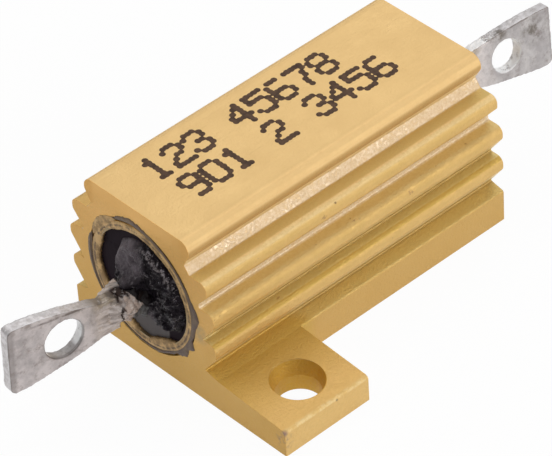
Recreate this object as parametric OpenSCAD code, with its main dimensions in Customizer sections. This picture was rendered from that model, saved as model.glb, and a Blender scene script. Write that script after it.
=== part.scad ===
// Wirewound resistor in a finned aluminium housing, for screwing to a chassis.
// The terminals lie along X. The origin is the centre of the mounting face, with +Z up.

/* [Housing] */
// Length of the extruded housing along the terminals
body_len = 20.3; // [16:0.1:32]
// Height from the mounting face to the top of the plate
body_h = 10; // [8.2:0.1:13]
// Diameter of the bore that holds the resistance element
bore_d = 7; // [5.8:0.1:8.6]
// Metal left between the bore and the roots of the grooves
bore_wall = 0.92; // [0.7:0.02:2]
// Width of the flat plate above the fins
plate_w = 7.76; // [6:0.02:9]
// Thickness of the edge of the plate
plate_edge = 0.75; // [0.75:0.05:1]
// Radius along the upper edges of the plate
plate_r = 0.6; // [0.1:0.05:0.6]
// How deep the groove under the plate cuts in behind the edge of the plate
plate_undercut = 0.44; // [0.2:0.02:0.8]

/* [Fins] */
// Number of fins on each side
fin_count = 3; // [2:1:3]
// How far the fins stand out from the roots of the grooves
fin_depth = 0.95; // [0.7:0.05:2]
// Height of the uppermost fin, from its flat top to the groove below it
top_fin_h = 1.8; // [1.3:0.05:2]
// How far the uppermost fin stops short of the others
top_fin_setback = 0.36; // [0:0.02:0.5]
// Radius at the upper corner of each fin's nose
nose_r = 0.42; // [0.1:0.02:0.5]
// Height of the upright flat in the root of the uppermost groove
root_flat = 0.26; // [0.1:0.02:0.4]
// Height of the blunt nose, where the sloping underside starts
nose_h = 0.72; // [0.6:0.02:0.8]
// Radius at the lower corner of each fin's nose
chin_r = 0.3; // [0.1:0.02:0.4]

/* [Feet] */
// Width over the two feet
foot_span = 20.4; // [18:0.1:28]
// Length of each foot along the housing
foot_len = 5.7; // [4.5:0.1:9]
// Height of the foot where it runs into the lowest groove
foot_root_h = 2.15; // [1.8:0.05:2.6]
// Height of the foot level with the side of the body
foot_knee_h = 1.93; // [1.5:0.01:2.1]
// Height of the foot at its outer edge
foot_edge_h = 1.6; // [1:0.01:1.9]
// Radius along the outer upper edge of the foot
foot_r = 0.2; // [0.1:0.05:0.6]
// Distance between the mounting holes along the housing
hole_pitch_x = 14.3; // [12:0.1:24]
// Distance between the mounting holes across the housing
hole_pitch_y = 15.9; // [14.5:0.1:22]
// Diameter of the mounting holes
hole_d = 2.4; // [2:0.1:3.2]
// Diameter of the tapered lead-in at the top of each mounting hole
lead_in_d = 2.9; // [2.6:0.1:3.8]
// Depth of the lead-in
lead_in_depth = 0.8; // [0.3:0.05:1.2]

/* [Staked ends] */
// Radial thickness of the lip that is folded in over the moulding
lip_t = 0.44; // [0.2:0.02:0.5]
// How far the lip leans in from the wall of the bore
lip_lean = 0.2; // [0.05:0.01:0.4]
// Length of bore that the staking draws in
lip_len = 0.7; // [0.4:0.05:1.5]
// Width of the staking groove in the end face
groove_w = 0.24; // [0.1:0.02:0.4]
// Depth of the staking groove
groove_depth = 0.5; // [0.2:0.05:1]

/* [Resistance element] */
// Diameter of the ceramic core
core_d = 3.6; // [2.6:0.1:4]
// Length of the ceramic core
core_len = 13.4; // [10:0.1:14]
// Diameter of the resistance wire
wire_d = 0.3; // [0.15:0.01:0.4]
// Number of turns in the winding
turns = 12; // [4:1:14]
// Length of core that each end cap covers
cap_grip = 2.2; // [1.5:0.1:3]
// Wall and end thickness of the drawn end caps
cap_t = 0.3; // [0.2:0.05:0.5]
// How far the moulding stops short of the ends of the housing
insulator_recess = 0.2; // [0.1:0.05:0.6]
// Clearance between pieces that are moulded, cemented or pressed together
fit_gap = 0.02; // [0.01:0.01:0.05]

/* [Terminals] */
// Diameter of the terminal stem
stem_d = 2; // [1.4:0.1:2.2]
// Thickness of the flattened lug
lug_t = 0.66; // [0.4:0.02:0.9]
// How far the middle of the lug lies to one side of the axis of the stem
lug_aside = 0.44; // [0:0.02:0.6]
// Where the flattening starts, measured from the end of the housing
flatten_start = 1.1; // [0.9:0.1:1.6]
// Where the lug reaches its full flatness
flatten_end = 2.6; // [2.2:0.1:4]
// Distance from the end of the housing to the centre of the hole in the lug
lug_hole_at = 4.95; // [4.5:0.05:5.5]
// Width at the tip, width at the neck and hole diameter of the front lug
front_lug = [4.06, 2.16, 2.3];
// Width at the tip, width at the neck and hole diameter of the rear lug
rear_lug = [3.46, 2.3, 1.9];
// Reach past the end of the housing and radii of the upper and lower corners, at the tip of the front lug
front_tip = [8.2, 0.3, 0.35];
// Reach past the end of the housing and radii of the upper and lower corners, at the tip of the rear lug
rear_tip = [8, 0.1, 0.35];
// Swing, twist and rise in degrees, and height off the bore axis, of the front terminal
front_set = [-7, 0, 2.3, -0.67];
// Swing, twist and rise in degrees, and height off the bore axis, of the rear terminal
rear_set = [-6.5, -8.5, -2.4, 0.88];

/* [End seals] */
// Diameter of the cement bead round each terminal
seal_d = 4.8; // [4.4:0.1:5]
// Height of the bead above the moulding
seal_h = 0.7; // [0.4:0.05:1]
// How far the front bead lies off the bore axis, towards -Y and +Z
front_seal_off = [0.44, 0.44];
// How far the rear bead lies off the bore axis, towards -Y and +Z
rear_seal_off = [-0.4, 0.3];

/* [Hidden] */

$fn = 64;
arc_step = 15;             // degrees turned by each flat of a rounded corner
over = 1;                  // how far a cutting shape runs past what it cuts
merge = 0.25;              // how far the flattened stem reaches back into the round one
neck_in = 0.5;             // how far the lug reaches back into the flattened stem
neck_taper = 0.1;          // how much slimmer the lug is there, on each side
lug_steps = 10;            // straight pieces along each curved side of a lug
dome_steps = 8;            // straight pieces in the section of a bead

half_len = body_len / 2;
axis_h = body_h / 2;       // the bore is centred in the height
bore_r = bore_d / 2;
root_half = bore_r + bore_wall;
half_w = root_half + fin_depth;
foot_half = foot_span / 2;
foot_gate = -half_len + foot_len;

shoulder_drop = 2;         // from the top of the plate to the top of the first fin
shoulder_in = 0.08;        // how far the shoulder facet stops short of the plate's edge
shoulder_rise = 0.48;      // height of the short facet between the shoulder and the undercut
top_root_setback = 0.1;    // the groove under the uppermost fin is this much deeper
root_r = 0.08;             // radius in the roots of the grooves
shoulder_h = body_h - shoulder_drop;
fin_pitch = (shoulder_h - top_fin_h - foot_root_h) / (fin_count - 1);

lip_r = bore_r - lip_lean;
groove_r = lip_r + lip_t + groove_w / 2;

core_r = core_d / 2;
cap_in_r = core_r + fit_gap;
cap_out_r = cap_in_r + cap_t;
cap_face = core_len / 2 + fit_gap + cap_t;           // outer face of each cap, from the middle
cap_rim = core_len / 2 - cap_grip;                   // open rim of each cap, from the middle
helix_steps = 18;          // rings of the winding for each turn
helix_r = (core_r + fit_gap) / cos(180 / helix_steps) + wire_d / 2;
helix_half = cap_rim - fit_gap - wire_d / 2;
insulator_half = half_len - insulator_recess;
seat_r = bore_r - fit_gap;
cavity_r = max(cap_out_r, helix_r + wire_d / 2) + fit_gap;

// Rounded outlines: each corner is [x, y, radius]
function unit(v) = v / norm(v);
function corner_xy(corner) = [corner[0], corner[1]];
function corner_arc(a, b, c, r) =
    let (u = unit(a - b), w = unit(c - b), half = acos(u * w) / 2,
         centre = b + unit(u + w) * r / sin(half),
         from = b + u * r / tan(half) - centre, to = b + w * r / tan(half) - centre,
         start = atan2(from.y, from.x), turn = atan2(to.y, to.x) - start,
         sweep = turn - 360 * round(turn / 360), steps = max(1, round(abs(sweep) / arc_step)))
    [for (i = [0:steps]) centre + r * [cos(start + sweep * i / steps), sin(start + sweep * i / steps)]];
function rounded(corners) =
    let (last = len(corners) - 1)
    [for (i = [0:last])
        let (a = corner_xy(corners[i == 0 ? last : i - 1]), b = corner_xy(corners[i]),
             c = corner_xy(corners[i == last ? 0 : i + 1]), r = corners[i][2])
        each r > 0 ? corner_arc(a, b, c, r) : [b]];
function mirrored(corners) =
    [for (i = [len(corners) - 1:-1:0]) [-corners[i][0], corners[i][1], corners[i][2]]];

// Section of the body, right half, from the top of the plate down to the mounting face
function fin_top(i) = shoulder_h - (i == 0 ? 0 : top_fin_h + (i - 1) * fin_pitch);
function fin_corners(i) =
    let (reach = half_w - (i == 0 ? top_fin_setback : 0), top = fin_top(i),
         below = i == fin_count - 1 ? foot_root_h : fin_top(i + 1))
    [[reach, top, nose_r],
     [reach, top - nose_h, chin_r],
     if (i == 0) [root_half - top_root_setback, below + root_flat, root_r],
     [root_half - (i == 0 ? top_root_setback : 0), below, root_r]];
plate_corners = [
    [plate_w / 2, body_h, plate_r],
    [plate_w / 2, body_h - plate_edge, plate_r / 2],
    [plate_w / 2 - plate_undercut, shoulder_h + shoulder_rise, root_r],
    [plate_w / 2 - shoulder_in, shoulder_h, root_r]];
base_corners = [
    [half_w, foot_knee_h, chin_r / 2],
    [half_w, 0, 0]];
side_corners = concat(plate_corners, [for (i = [0:fin_count - 1]) each fin_corners(i)], base_corners);

// Flange that is left as a foot, cut from the same extrusion
foot_corners = [
    [root_half - top_root_setback, 0, 0],
    [root_half, foot_root_h, 0],
    [half_w, foot_knee_h, 0],
    [foot_half, foot_edge_h, foot_r],
    [foot_half, 0, 0]];

// Extrude a section drawn in Y and Z from x0 to x1
module along_x(x0, x1) {
    translate([x0, 0, 0]) rotate([90, 0, 90]) linear_extrude(x1 - x0) children();
}

// Turn a profile of [radius, x] points about the axis of the bore
module turned(points) {
    translate([0, 0, axis_h]) rotate([0, 90, 0]) rotate_extrude() polygon(points);
}

// Place what is drawn for the +X end at the end that faces side
module at_end(side) {
    rotate([0, 0, side > 0 ? 0 : 180]) children();
}

module bore_cut() {
    turned([[0, -half_len - over], [lip_r, -half_len - over], [lip_r, -half_len],
            [bore_r, -half_len + lip_len], [bore_r, half_len - lip_len],
            [lip_r, half_len], [lip_r, half_len + over], [0, half_len + over]]);
}

module staking_groove() {
    turned([[groove_r - groove_w / 2, half_len + over], [groove_r - groove_w / 2, half_len],
            [groove_r, half_len - groove_depth], [groove_r + groove_w / 2, half_len],
            [groove_r + groove_w / 2, half_len + over]]);
}

module mounting_hole() {
    slope = (foot_knee_h - foot_edge_h) / (foot_half - half_w);
    top = foot_edge_h + slope * (foot_half - hole_pitch_y / 2);
    taper = (lead_in_d - hole_d) / 2 / lead_in_depth;
    translate([-hole_pitch_x / 2, -hole_pitch_y / 2, -over]) {
        cylinder(h = top + 2 * over, d = hole_d);
        translate([0, 0, over + top - lead_in_depth])
            cylinder(h = lead_in_depth + over, d1 = hole_d, d2 = lead_in_d + 2 * taper * over);
    }
}

module housing() {
    color([0.82, 0.64, 0.36])
    difference() {
        union() {
            along_x(-half_len, half_len) polygon(rounded(concat(side_corners, mirrored(side_corners))));
            for (turn = [0, 180])
                rotate([0, 0, turn]) along_x(-half_len, foot_gate) polygon(rounded(mirrored(foot_corners)));
        }
        bore_cut();
        for (side = [-1, 1]) at_end(side) staking_groove();
        for (turn = [0, 180]) rotate([0, 0, turn]) mounting_hole();
    }
}

// What is set for the terminal and the bead at each end
function tip_of(side) = side < 0 ? front_tip : rear_tip;
function set_of(side) = side < 0 ? front_set : rear_set;
function lug_of(side) = side < 0 ? front_lug : rear_lug;
function seal_off_of(side) = side < 0 ? front_seal_off : rear_seal_off;

// The frame of a terminal: X along the terminal from the end of the housing, Z across the lug
module terminal_frame(side) {
    set = set_of(side);
    translate([half_len, 0, axis_h + set[3]]) rotate([set[1], -set[2], set[0]]) children();
}

// Both lugs lie on the -Y side of their stems
module stem_frame(side) {
    translate([0, side * lug_aside, 0]) rotate([0, 90, 0]) children();
}

module stem(side, gap = 0) {
    inner = half_len - cap_face + over;
    stem_frame(side) translate([0, 0, -inner]) cylinder(h = inner + flatten_start, d = stem_d + 2 * gap);
}

// The stem pinched between two sloping planes until it is as thin as the lug
module flattened_stem(side) {
    axis_y = side * lug_aside;
    wedge = [[flatten_start, axis_y + stem_d / 2], [flatten_start, axis_y - stem_d / 2],
             [flatten_end, -lug_t / 2], [flatten_end, lug_t / 2]];
    intersection() {
        stem_frame(side) translate([0, 0, flatten_start - merge])
            cylinder(h = flatten_end - flatten_start + merge, d = stem_d);
        translate([0, 0, -stem_d]) linear_extrude(2 * stem_d) polygon(wedge);
    }
}

// Upper half of the outline of a lug: its neck, its curved side and the rounded corner at the tip
function lug_corners(tip_w, neck_w, reach, corner_r) =
    concat([[flatten_start + neck_in, neck_w / 2 - neck_taper, 0]],
        [for (i = [0:lug_steps])
            let (share = i / lug_steps, s = flatten_end + (reach - flatten_end) * share)
            [s, neck_w / 2 + (tip_w - neck_w) / 2 * sin(90 * share), i == lug_steps ? corner_r : 0]]);
function flipped(corners) =
    [for (i = [len(corners) - 1:-1:0]) [corners[i][0], -corners[i][1], corners[i][2]]];

module lug(side) {
    size = lug_of(side);
    tip = tip_of(side);
    upper = lug_corners(size[0], size[1], tip[0], tip[1]);
    lower = flipped(lug_corners(size[0], size[1], tip[0], tip[2]));
    rotate([90, 0, 0]) difference() {
        translate([0, 0, -lug_t / 2]) linear_extrude(lug_t) polygon(rounded(concat(upper, lower)));
        translate([lug_hole_at, 0, -over]) cylinder(h = 2 * over, d = size[2]);
    }
}

// The terminal stands on the flat end of its cap, which trims the foot of the stem
module terminal(side) {
    trim = 3 * over;
    difference() {
        terminal_frame(side) {
            stem(side);
            flattened_stem(side);
            lug(side);
        }
        translate([cap_face + fit_gap - trim, -bore_r, axis_h - bore_r]) cube([trim, bore_d, bore_d]);
    }
}

module terminal_front() {
    color([0.72, 0.70, 0.69]) at_end(-1) terminal(-1);
}

module terminal_rear() {
    color([0.72, 0.70, 0.69]) at_end(1) terminal(1);
}

module stem_hole(side) {
    at_end(side) terminal_frame(side) stem(side, gap = fit_gap);
}

// Black moulding that carries the element and fills the bore
module insulator() {
    end_r = lip_r + (bore_r - lip_r) * insulator_recess / lip_len - fit_gap;
    color([0.1, 0.1, 0.11])
    difference() {
        turned([[0, -insulator_half], [end_r, -insulator_half], [seat_r, -half_len + lip_len],
                [seat_r, half_len - lip_len], [end_r, insulator_half], [0, insulator_half]]);
        turned([[0, -cap_face - fit_gap], [cavity_r, -cap_face - fit_gap],
                [cavity_r, cap_face + fit_gap], [0, cap_face + fit_gap]]);
        for (side = [-1, 1]) stem_hole(side);
    }
}

module ceramic_core() {
    color([0.93, 0.91, 0.86])
    turned([[0, -core_len / 2], [core_r, -core_len / 2], [core_r, core_len / 2], [0, core_len / 2]]);
}

// Resistance wire, swept along a helix between the two caps
module resistance_winding() {
    sides = 6;
    steps = helix_steps * turns;
    pitch = 2 * helix_half / turns;
    lean = atan2(pitch, 2 * PI * helix_r);
    ring = [for (j = [0:sides - 1]) wire_d / 2 * [cos(360 * j / sides), sin(360 * j / sides)]];
    points = [for (i = [0:steps]) for (p = ring)
        let (a = 360 * turns * i / steps)
        [-helix_half + 2 * helix_half * i / steps + p.y * cos(lean),
         (helix_r + p.x) * cos(a) + p.y * sin(lean) * sin(a),
         (helix_r + p.x) * sin(a) - p.y * sin(lean) * cos(a)]];
    walls = [for (i = [0:steps - 1]) for (j = [0:sides - 1])
        let (k = (j + 1) % sides)
        [i * sides + j, i * sides + k, (i + 1) * sides + k, (i + 1) * sides + j]];
    first = [for (j = [sides - 1:-1:0]) j];
    final = [for (j = [0:sides - 1]) steps * sides + j];
    color([0.55, 0.52, 0.50])
    translate([0, 0, axis_h]) polyhedron(points, concat([first], walls, [final]));
}

module end_cap() {
    color([0.66, 0.66, 0.68])
    turned([[0, cap_face], [cap_out_r, cap_face], [cap_out_r, cap_rim], [cap_in_r, cap_rim],
            [cap_in_r, cap_face - cap_t], [0, cap_face - cap_t]]);
}

module end_cap_front() {
    at_end(-1) end_cap();
}

module end_cap_rear() {
    at_end(1) end_cap();
}

// Domed bead of cement on the end of the moulding, round the terminal
module end_seal(side) {
    foot = insulator_half + fit_gap;
    off = seal_off_of(side);
    dome = [for (i = [0:dome_steps])
        let (a = 90 * i / dome_steps) [seal_d / 2 * cos(a), foot + seal_h * sin(a)]];
    color([0.13, 0.12, 0.13])
    difference() {
        translate([0, -off[0], off[1]]) at_end(side) turned(concat([[0, foot]], dome));
        stem_hole(side);
    }
}

module end_seal_front() {
    end_seal(-1);
}

module end_seal_rear() {
    end_seal(1);
}

housing();
insulator();
ceramic_core();
resistance_winding();
end_cap_front();
end_cap_rear();
terminal_front();
terminal_rear();
end_seal_front();
end_seal_rear();
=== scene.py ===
import math

import bmesh
import bpy
from mathutils import Matrix, Vector, noise


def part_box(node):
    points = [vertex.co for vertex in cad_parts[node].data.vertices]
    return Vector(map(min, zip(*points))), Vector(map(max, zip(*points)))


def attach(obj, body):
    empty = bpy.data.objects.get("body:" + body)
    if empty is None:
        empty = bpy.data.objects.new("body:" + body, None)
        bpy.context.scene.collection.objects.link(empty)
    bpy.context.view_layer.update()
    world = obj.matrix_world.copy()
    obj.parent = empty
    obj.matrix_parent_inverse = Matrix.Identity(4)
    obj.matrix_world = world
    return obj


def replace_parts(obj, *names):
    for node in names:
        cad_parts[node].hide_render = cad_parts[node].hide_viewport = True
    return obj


# An aluminium-housed wirewound resistor on a white floor. The CAD solids stay where they are. Rougher pieces
# stand for the lugs and the seals, and the lip, residue, crust and marking are added here.

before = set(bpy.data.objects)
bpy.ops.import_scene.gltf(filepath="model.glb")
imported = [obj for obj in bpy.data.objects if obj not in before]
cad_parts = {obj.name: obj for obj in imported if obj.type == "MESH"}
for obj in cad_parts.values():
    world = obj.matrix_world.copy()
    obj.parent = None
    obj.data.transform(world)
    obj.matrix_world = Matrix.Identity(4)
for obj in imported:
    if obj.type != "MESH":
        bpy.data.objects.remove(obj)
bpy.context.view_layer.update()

MM = 0.001                      # shapes are drawn in millimetres and brought to metres at the end

# Driving places, all from the frame, in millimetres
HOUSING_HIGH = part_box("housing")[1] / MM
MOULDING_LOW, MOULDING_HIGH = (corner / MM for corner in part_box("insulator"))
END_X = HOUSING_HIGH.x          # end face of the housing, on the +X side
TOP_Z = HOUSING_HIGH.z          # top of the plate
AXIS_Z = (MOULDING_LOW.z + MOULDING_HIGH.z) / 2
SUNK = END_X - MOULDING_HIGH.x  # how far the moulding lies inside the end of the housing

# Camera: where it stands, seen from the object
AZIMUTH, ELEVATION, ROLL = -40.734, 40.487, -3.789
DISTANCE = 0.20440
LENS = 255.84
AIM_RIGHT, AIM_UP = -0.00094, 0.00192   # what it looks at, from the origin, in the plane of the picture

# Light: place, width and power of each softbox, the strength of the surroundings, and the share of plain
# white in the floor that is seen
SOFTBOXES = (((0.0, 0.0, 0.6), 0.5, 0.75), ((0.35, 0.25, 0.45), 0.4, 0.90), ((-0.25, 0.30, 0.50), 0.4, 0.60),
             ((0.30, -0.48, 0.21), 0.2, 0.95), ((0.05, -0.50, 0.40), 0.3, 0.55))
WORLD_LIGHT = 0.21
FLOOR_WHITE = 0.955

# Each end: which way it faces along X, and how its terminal is set: swing, twist and rise in degrees, and
# height off the bore axis
SIDE = {"front": -1, "rear": 1}
TERMINAL_SET = {"front": (-7.0, 0.0, 2.3, -0.67), "rear": (-6.5, -8.5, -2.4, 0.88)}
LUG_HOLE_AT = 4.95              # from the end face to the hole in the lug
HOLE_R = {"front": 1.15, "rear": 0.95}
STEM_ASIDE = 0.44               # from the middle of the lug to the axis of its stem, towards +Y

# Cement, from the bore axis towards +Y and +Z: middle of the bead, and of the hollow in it beside the stem,
# with the height at which it climbs the stem
BEAD_MIDDLE = {"front": (-0.44, 0.44), "rear": (0.40, 0.30)}
BEAD_HOLLOW = {"front": (-0.75, 0.15, 0.35), "rear": (-0.9, 0.9, 1.9)}


# ---------------------------------------------------------------- camera, light and floor

def camera_axes(azimuth, elevation, roll):
    """Right, up and back of a camera that looks at the object from there."""
    a, e, r = (math.radians(v) for v in (azimuth, elevation, roll))
    back = Vector((math.sin(a) * math.cos(e), -math.cos(a) * math.cos(e), math.sin(e)))
    level = Vector((math.cos(a), math.sin(a), 0))
    upright = back.cross(level)
    right = math.cos(r) * level + math.sin(r) * upright
    up = -math.sin(r) * level + math.cos(r) * upright
    return right, up, back


def add_camera():
    right, up, back = camera_axes(AZIMUTH, ELEVATION, ROLL)
    data = bpy.data.cameras.new("camera")
    data.lens = LENS
    data.clip_start, data.clip_end = 0.01, 10
    camera = bpy.data.objects.new("camera", data)
    bpy.context.scene.collection.objects.link(camera)
    turn = Matrix((right, up, back)).transposed().to_4x4()
    aim = AIM_RIGHT * right + AIM_UP * up
    camera.matrix_world = Matrix.Translation(aim + back * DISTANCE) @ turn
    bpy.context.scene.camera = camera


def add_area_light(name, place, width, power):
    """A square light that faces the object."""
    data = bpy.data.lights.new(name, "AREA")
    data.shape = "SQUARE"
    data.size = width
    data.energy = power
    light = bpy.data.objects.new(name, data)
    bpy.context.scene.collection.objects.link(light)
    light.location = place
    light.rotation_mode = "QUATERNION"
    light.rotation_quaternion = Vector(place).to_track_quat("Z", "Y")


def add_world(strength):
    world = bpy.data.worlds.new("studio")
    bpy.context.scene.world = world
    world.use_nodes = True
    world.node_tree.nodes["Background"].inputs["Color"].default_value = (1, 1, 1, 1)
    world.node_tree.nodes["Background"].inputs["Strength"].default_value = strength


def floor_material():
    """White wherever it is seen or mirrored, with a part of the shadow left in it."""
    mat, add = new_material("floor", Base_Color=(0.97, 0.97, 0.97, 1), Roughness=0.9)
    path = add("LightPath").outputs
    seen = larger(add, path["Is Camera Ray"], path["Is Glossy Ray"], path["Is Transmission Ray"])
    share = times(add, seen, FLOOR_WHITE)
    white = add("Emission", {"Color": (1, 1, 1, 1), "Strength": 1.0}).outputs[0]
    both = add("MixShader", {0: share, 1: shader(mat).outputs[0], 2: white}).outputs[0]
    mat.node_tree.links.new(both, mat.node_tree.nodes["Material Output"].inputs["Surface"])
    return mat


def add_floor():
    half = 2.0
    corners = [(-half, -half, 0), (half, -half, 0), (half, half, 0), (-half, half, 0)]
    mesh = bpy.data.meshes.new("floor")
    mesh.from_pydata(corners, [], [(0, 1, 2, 3)])
    floor = bpy.data.objects.new("floor", mesh)
    bpy.context.scene.collection.objects.link(floor)
    floor.data.materials.append(floor_material())


# ---------------------------------------------------------------- material helpers

def shader(mat):
    return mat.node_tree.nodes["Principled BSDF"]


def new_material(name, **sockets):
    """A material, and a function that adds a node to it: add(type, inputs, **settings)."""
    mat = bpy.data.materials.new(name)
    mat.use_nodes = True
    tree = mat.node_tree
    for socket, value in sockets.items():
        shader(mat).inputs[socket.replace("_", " ")].default_value = value

    def add(kind, inputs=None, **settings):
        node = tree.nodes.new("ShaderNode" + kind)
        for key, value in settings.items():
            setattr(node, key, value)
        for key, value in (inputs or {}).items():
            if isinstance(value, bpy.types.NodeSocket):
                tree.links.new(value, node.inputs[key])
            else:
                node.inputs[key].default_value = value
        return node

    return mat, add


def millimetres(add, stretch=(1, 1, 1)):
    """The place on the object in millimetres, stretched along each axis."""
    place = add("TexCoord").outputs["Object"]
    return add("VectorMath", {0: place, 1: [s / MM for s in stretch]}, operation="MULTIPLY").outputs[0]


def noise_of(add, place, scale, detail=3, roughness=0.5):
    """Cloudy noise about 0.5; lumps are about 1 / scale millimetres across."""
    node = add("TexNoise", {"Vector": place, "Scale": scale, "Detail": detail, "Roughness": roughness})
    return node.outputs["Fac"]


def ramp(add, value, low, high, to_low=0.0, to_high=1.0):
    """Goes straight from to_low, where the value is low, to to_high, where it is high, and no further."""
    node = add("MapRange", {"Value": value, "From Min": low, "From Max": high,
                            "To Min": to_low, "To Max": to_high}, clamp=True)
    return node.outputs["Result"]


def mix(add, amount, first, second):
    """The first colour where the amount is 0, and the second where it is 1."""
    node = add("Mix", {0: amount, 6: first, 7: second}, data_type="RGBA")
    return node.outputs[2]


def bump(mat, add, height, depth_mm, strength=1.0, before=None):
    """Relief from a height, laid over the relief before it."""
    inputs = {"Height": height, "Distance": depth_mm * MM, "Strength": strength}
    if before is not None:
        inputs["Normal"] = before
    normal = add("Bump", inputs).outputs["Normal"]
    mat.node_tree.links.new(normal, shader(mat).inputs["Normal"])
    return normal


def wire(mat, value, socket):
    mat.node_tree.links.new(value, shader(mat).inputs[socket])


def axes_of(add, place):
    parts = add("SeparateXYZ", {0: place}).outputs
    return parts["X"], parts["Y"], parts["Z"]


def maths(add, operation, first, *others):
    """A calculation with the first value and each of the others in turn."""
    for other in others or (0.0,):
        first = add("Math", {0: first, 1: other}, operation=operation).outputs[0]
    return first


def times(add, *values):
    """The product. For masks: where all of them hold."""
    return maths(add, "MULTIPLY", *values)


def larger(add, *values):
    """The largest value. For masks: where any of them holds."""
    return maths(add, "MAXIMUM", *values)


def stray(add, value, cloud, reach):
    """The value, moved up and down by a noise, by no more than reach."""
    return maths(add, "ADD", value, ramp(add, cloud, 0.3, 0.7, -reach, reach))


def within(add, value, low, high, soft):
    """1 where the value lies between low and high, fading to 0 over soft on each side."""
    return times(add, ramp(add, value, low - soft, low), ramp(add, value, high, high + soft, 1.0, 0.0))


def axis_place(add, place):
    """The place across the axis of the bore: its X is taken out."""
    parts = {0: place, 1: (0, 1, 1), 2: (0, 0, -AXIS_Z)}
    return add("VectorMath", parts, operation="MULTIPLY_ADD").outputs[0]


def gap_to(add, place, centre):
    return add("VectorMath", {0: place, 1: centre}, operation="DISTANCE").outputs["Value"]


def near_to(add, place, centre, radius, soft):
    """1 inside a ball, fading to 0 over soft outside it."""
    return ramp(add, gap_to(add, place, centre), radius, radius + soft, 1.0, 0.0)


# ---------------------------------------------------------------- anodised aluminium

GOLD = (0.84, 0.560, 0.212, 1)
GOLD_DEEP = (0.70, 0.450, 0.140, 1)
GOLD_PLATE = (0.84, 0.575, 0.255, 1)
# Painted highlights on the two facets under the plate, whose own grain is sandier
GOLD_FACET_HIGHLIGHT = (0.93, 0.745, 0.530, 1)
GOLD_ROOT_HIGHLIGHT = (0.97, 0.840, 0.640, 1)
# Painted light and shade: the colours that the grooves and fins show in their light, and a painted highlight
# on the brow of the top fin
GOLD_GROOVE_PAINTED_LIGHT = (0.76, 0.555, 0.215, 1)
GOLD_FIN_PAINTED_LIGHT = (0.88, 0.685, 0.315, 1)
GOLD_LEE_PAINTED_SHADE = (0.77, 0.620, 0.280, 1)
GOLD_BROW_HIGHLIGHT = (0.97, 0.720, 0.350, 1)
# Painted shade: on the corner of the lowest fin, and on each foot next to the body
GOLD_LOW_SHADE = (0.69, 0.455, 0.115, 1)
# Painted light and shade on the base: its slope, and its darker flank
GOLD_SLOPE_PAINTED_LIGHT = (0.76, 0.555, 0.205, 1)
GOLD_FLANK_PAINTED_SHADE = (0.705, 0.443, 0.143, 1)
# Painted bounce light, under the plate and under the lowest fin
GOLD_PAINTED_BOUNCE = (0.96, 0.760, 0.420, 1)
# Painted highlight on the rounded rim of the plate
GOLD_RIM_HIGHLIGHT = (0.95, 0.665, 0.310, 1)
# Painted shade on the band of the plate's side under its rim
GOLD_UNDER_RIM_SHADE = (0.68, 0.430, 0.170, 1)
# Painted shade in each crease under the fins, where they meet the body
GOLD_CREASE_SHADE = (0.60, 0.420, 0.155, 1)
# Painted shade on the walls of the screw holes
GOLD_HOLE_SHADE = (0.72, 0.440, 0.075, 1)
# Painted shade on the cut ends, darker towards the bottom
GOLD_END_SHADE = (0.87, 0.515, 0.165, 1)
GOLD_END_LOW_SHADE = (0.72, 0.440, 0.120, 1)
# Painted shade on the inside of the bore
GOLD_BORE_SHADE = (0.42, 0.31, 0.17, 1)

# Worn marks, a painted highlight and a darker spot: colours, then the places of those that are single
BRUISE = (0.50, 0.28, 0.12, 1)
# Painted highlight along the top edge of each foot, broken up by noise
FOOT_EDGE_HIGHLIGHT = (0.93, 0.72, 0.38, 1)
NICK = (0.35, 0.24, 0.12, 1)
SPECK = (0.25, 0.13, 0.06, 1)
# A darker spot on the end face
END_DARK_SPOT = (0.46, 0.34, 0.18, 1)
SMEAR = (0.36, 0.23, 0.17, 1)
NICK_AT = (-6.62, -10.2, 1.44)
SPECK_AT = (-1.27, -4.93, 7.9)
END_DARK_SPOT_AT = (-END_X, -4.15, 4.45)
SCUFF_AT = (-END_X, -10.2, 1.55)
SMEAR_AT = (-END_X, -10.0, 0.9)

SCREW_HOLE = (7.15, 7.95, 0)    # middle of each, with the signs taken off
SCREW_HOLE_R = 1.44             # just inside the lead-in
BORE_R = 3.6                    # what lies nearer the axis than this is in the bore


# Masks below are bands in millimetres: x, y and z as in the object, and aside, its distance from the middle
# plane. The last number of within() and near_to() is how softly they end.

def painted_fin_light(add, aside, z, camera_side, colour):
    """Painted light on the camera's side: each groove and fin in the colour that it shows in its light, a
    painted highlight on the brow of the top fin, painted bounce light under the plate and under the lowest
    fin, and painted shade on that fin's corner.
    """
    upper_groove = times(add, ramp(add, aside, 4.8, 4.5), ramp(add, z, 6.3, 6.4))
    fins = times(add, ramp(add, aside, 5.25, 5.0), within(add, z, 2.3, 6.3, 0.05))
    lee = times(add, fins, ramp(add, z, 4.4, 4.2))
    brow = times(add, within(add, aside, 4.62, 4.85, 0.1), ramp(add, z, 7.75, 7.9))
    undercut = times(add, ramp(add, aside, 3.9, 3.8), within(add, z, 8.5, 8.85, 0.05))
    beneath = times(add, within(add, aside, 4.98, 5.15, 0.06), within(add, z, 2.75, 3.2, 0.1))
    # Painted shade on the corner of the lowest fin
    corner = times(add, within(add, aside, 5.1, 5.3, 0.05), within(add, z, 4.02, 4.2, 0.04))
    # Painted light and shade, laid on the camera's side only
    for mask, shade in ((upper_groove, GOLD_GROOVE_PAINTED_LIGHT), (fins, GOLD_FIN_PAINTED_LIGHT), (lee, GOLD_LEE_PAINTED_SHADE), (brow, GOLD_BROW_HIGHLIGHT),
                        (undercut, GOLD_PAINTED_BOUNCE), (beneath, GOLD_PAINTED_BOUNCE), (corner, GOLD_LOW_SHADE)):
        colour = mix(add, times(add, mask, camera_side), colour, shade)
    return colour


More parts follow.
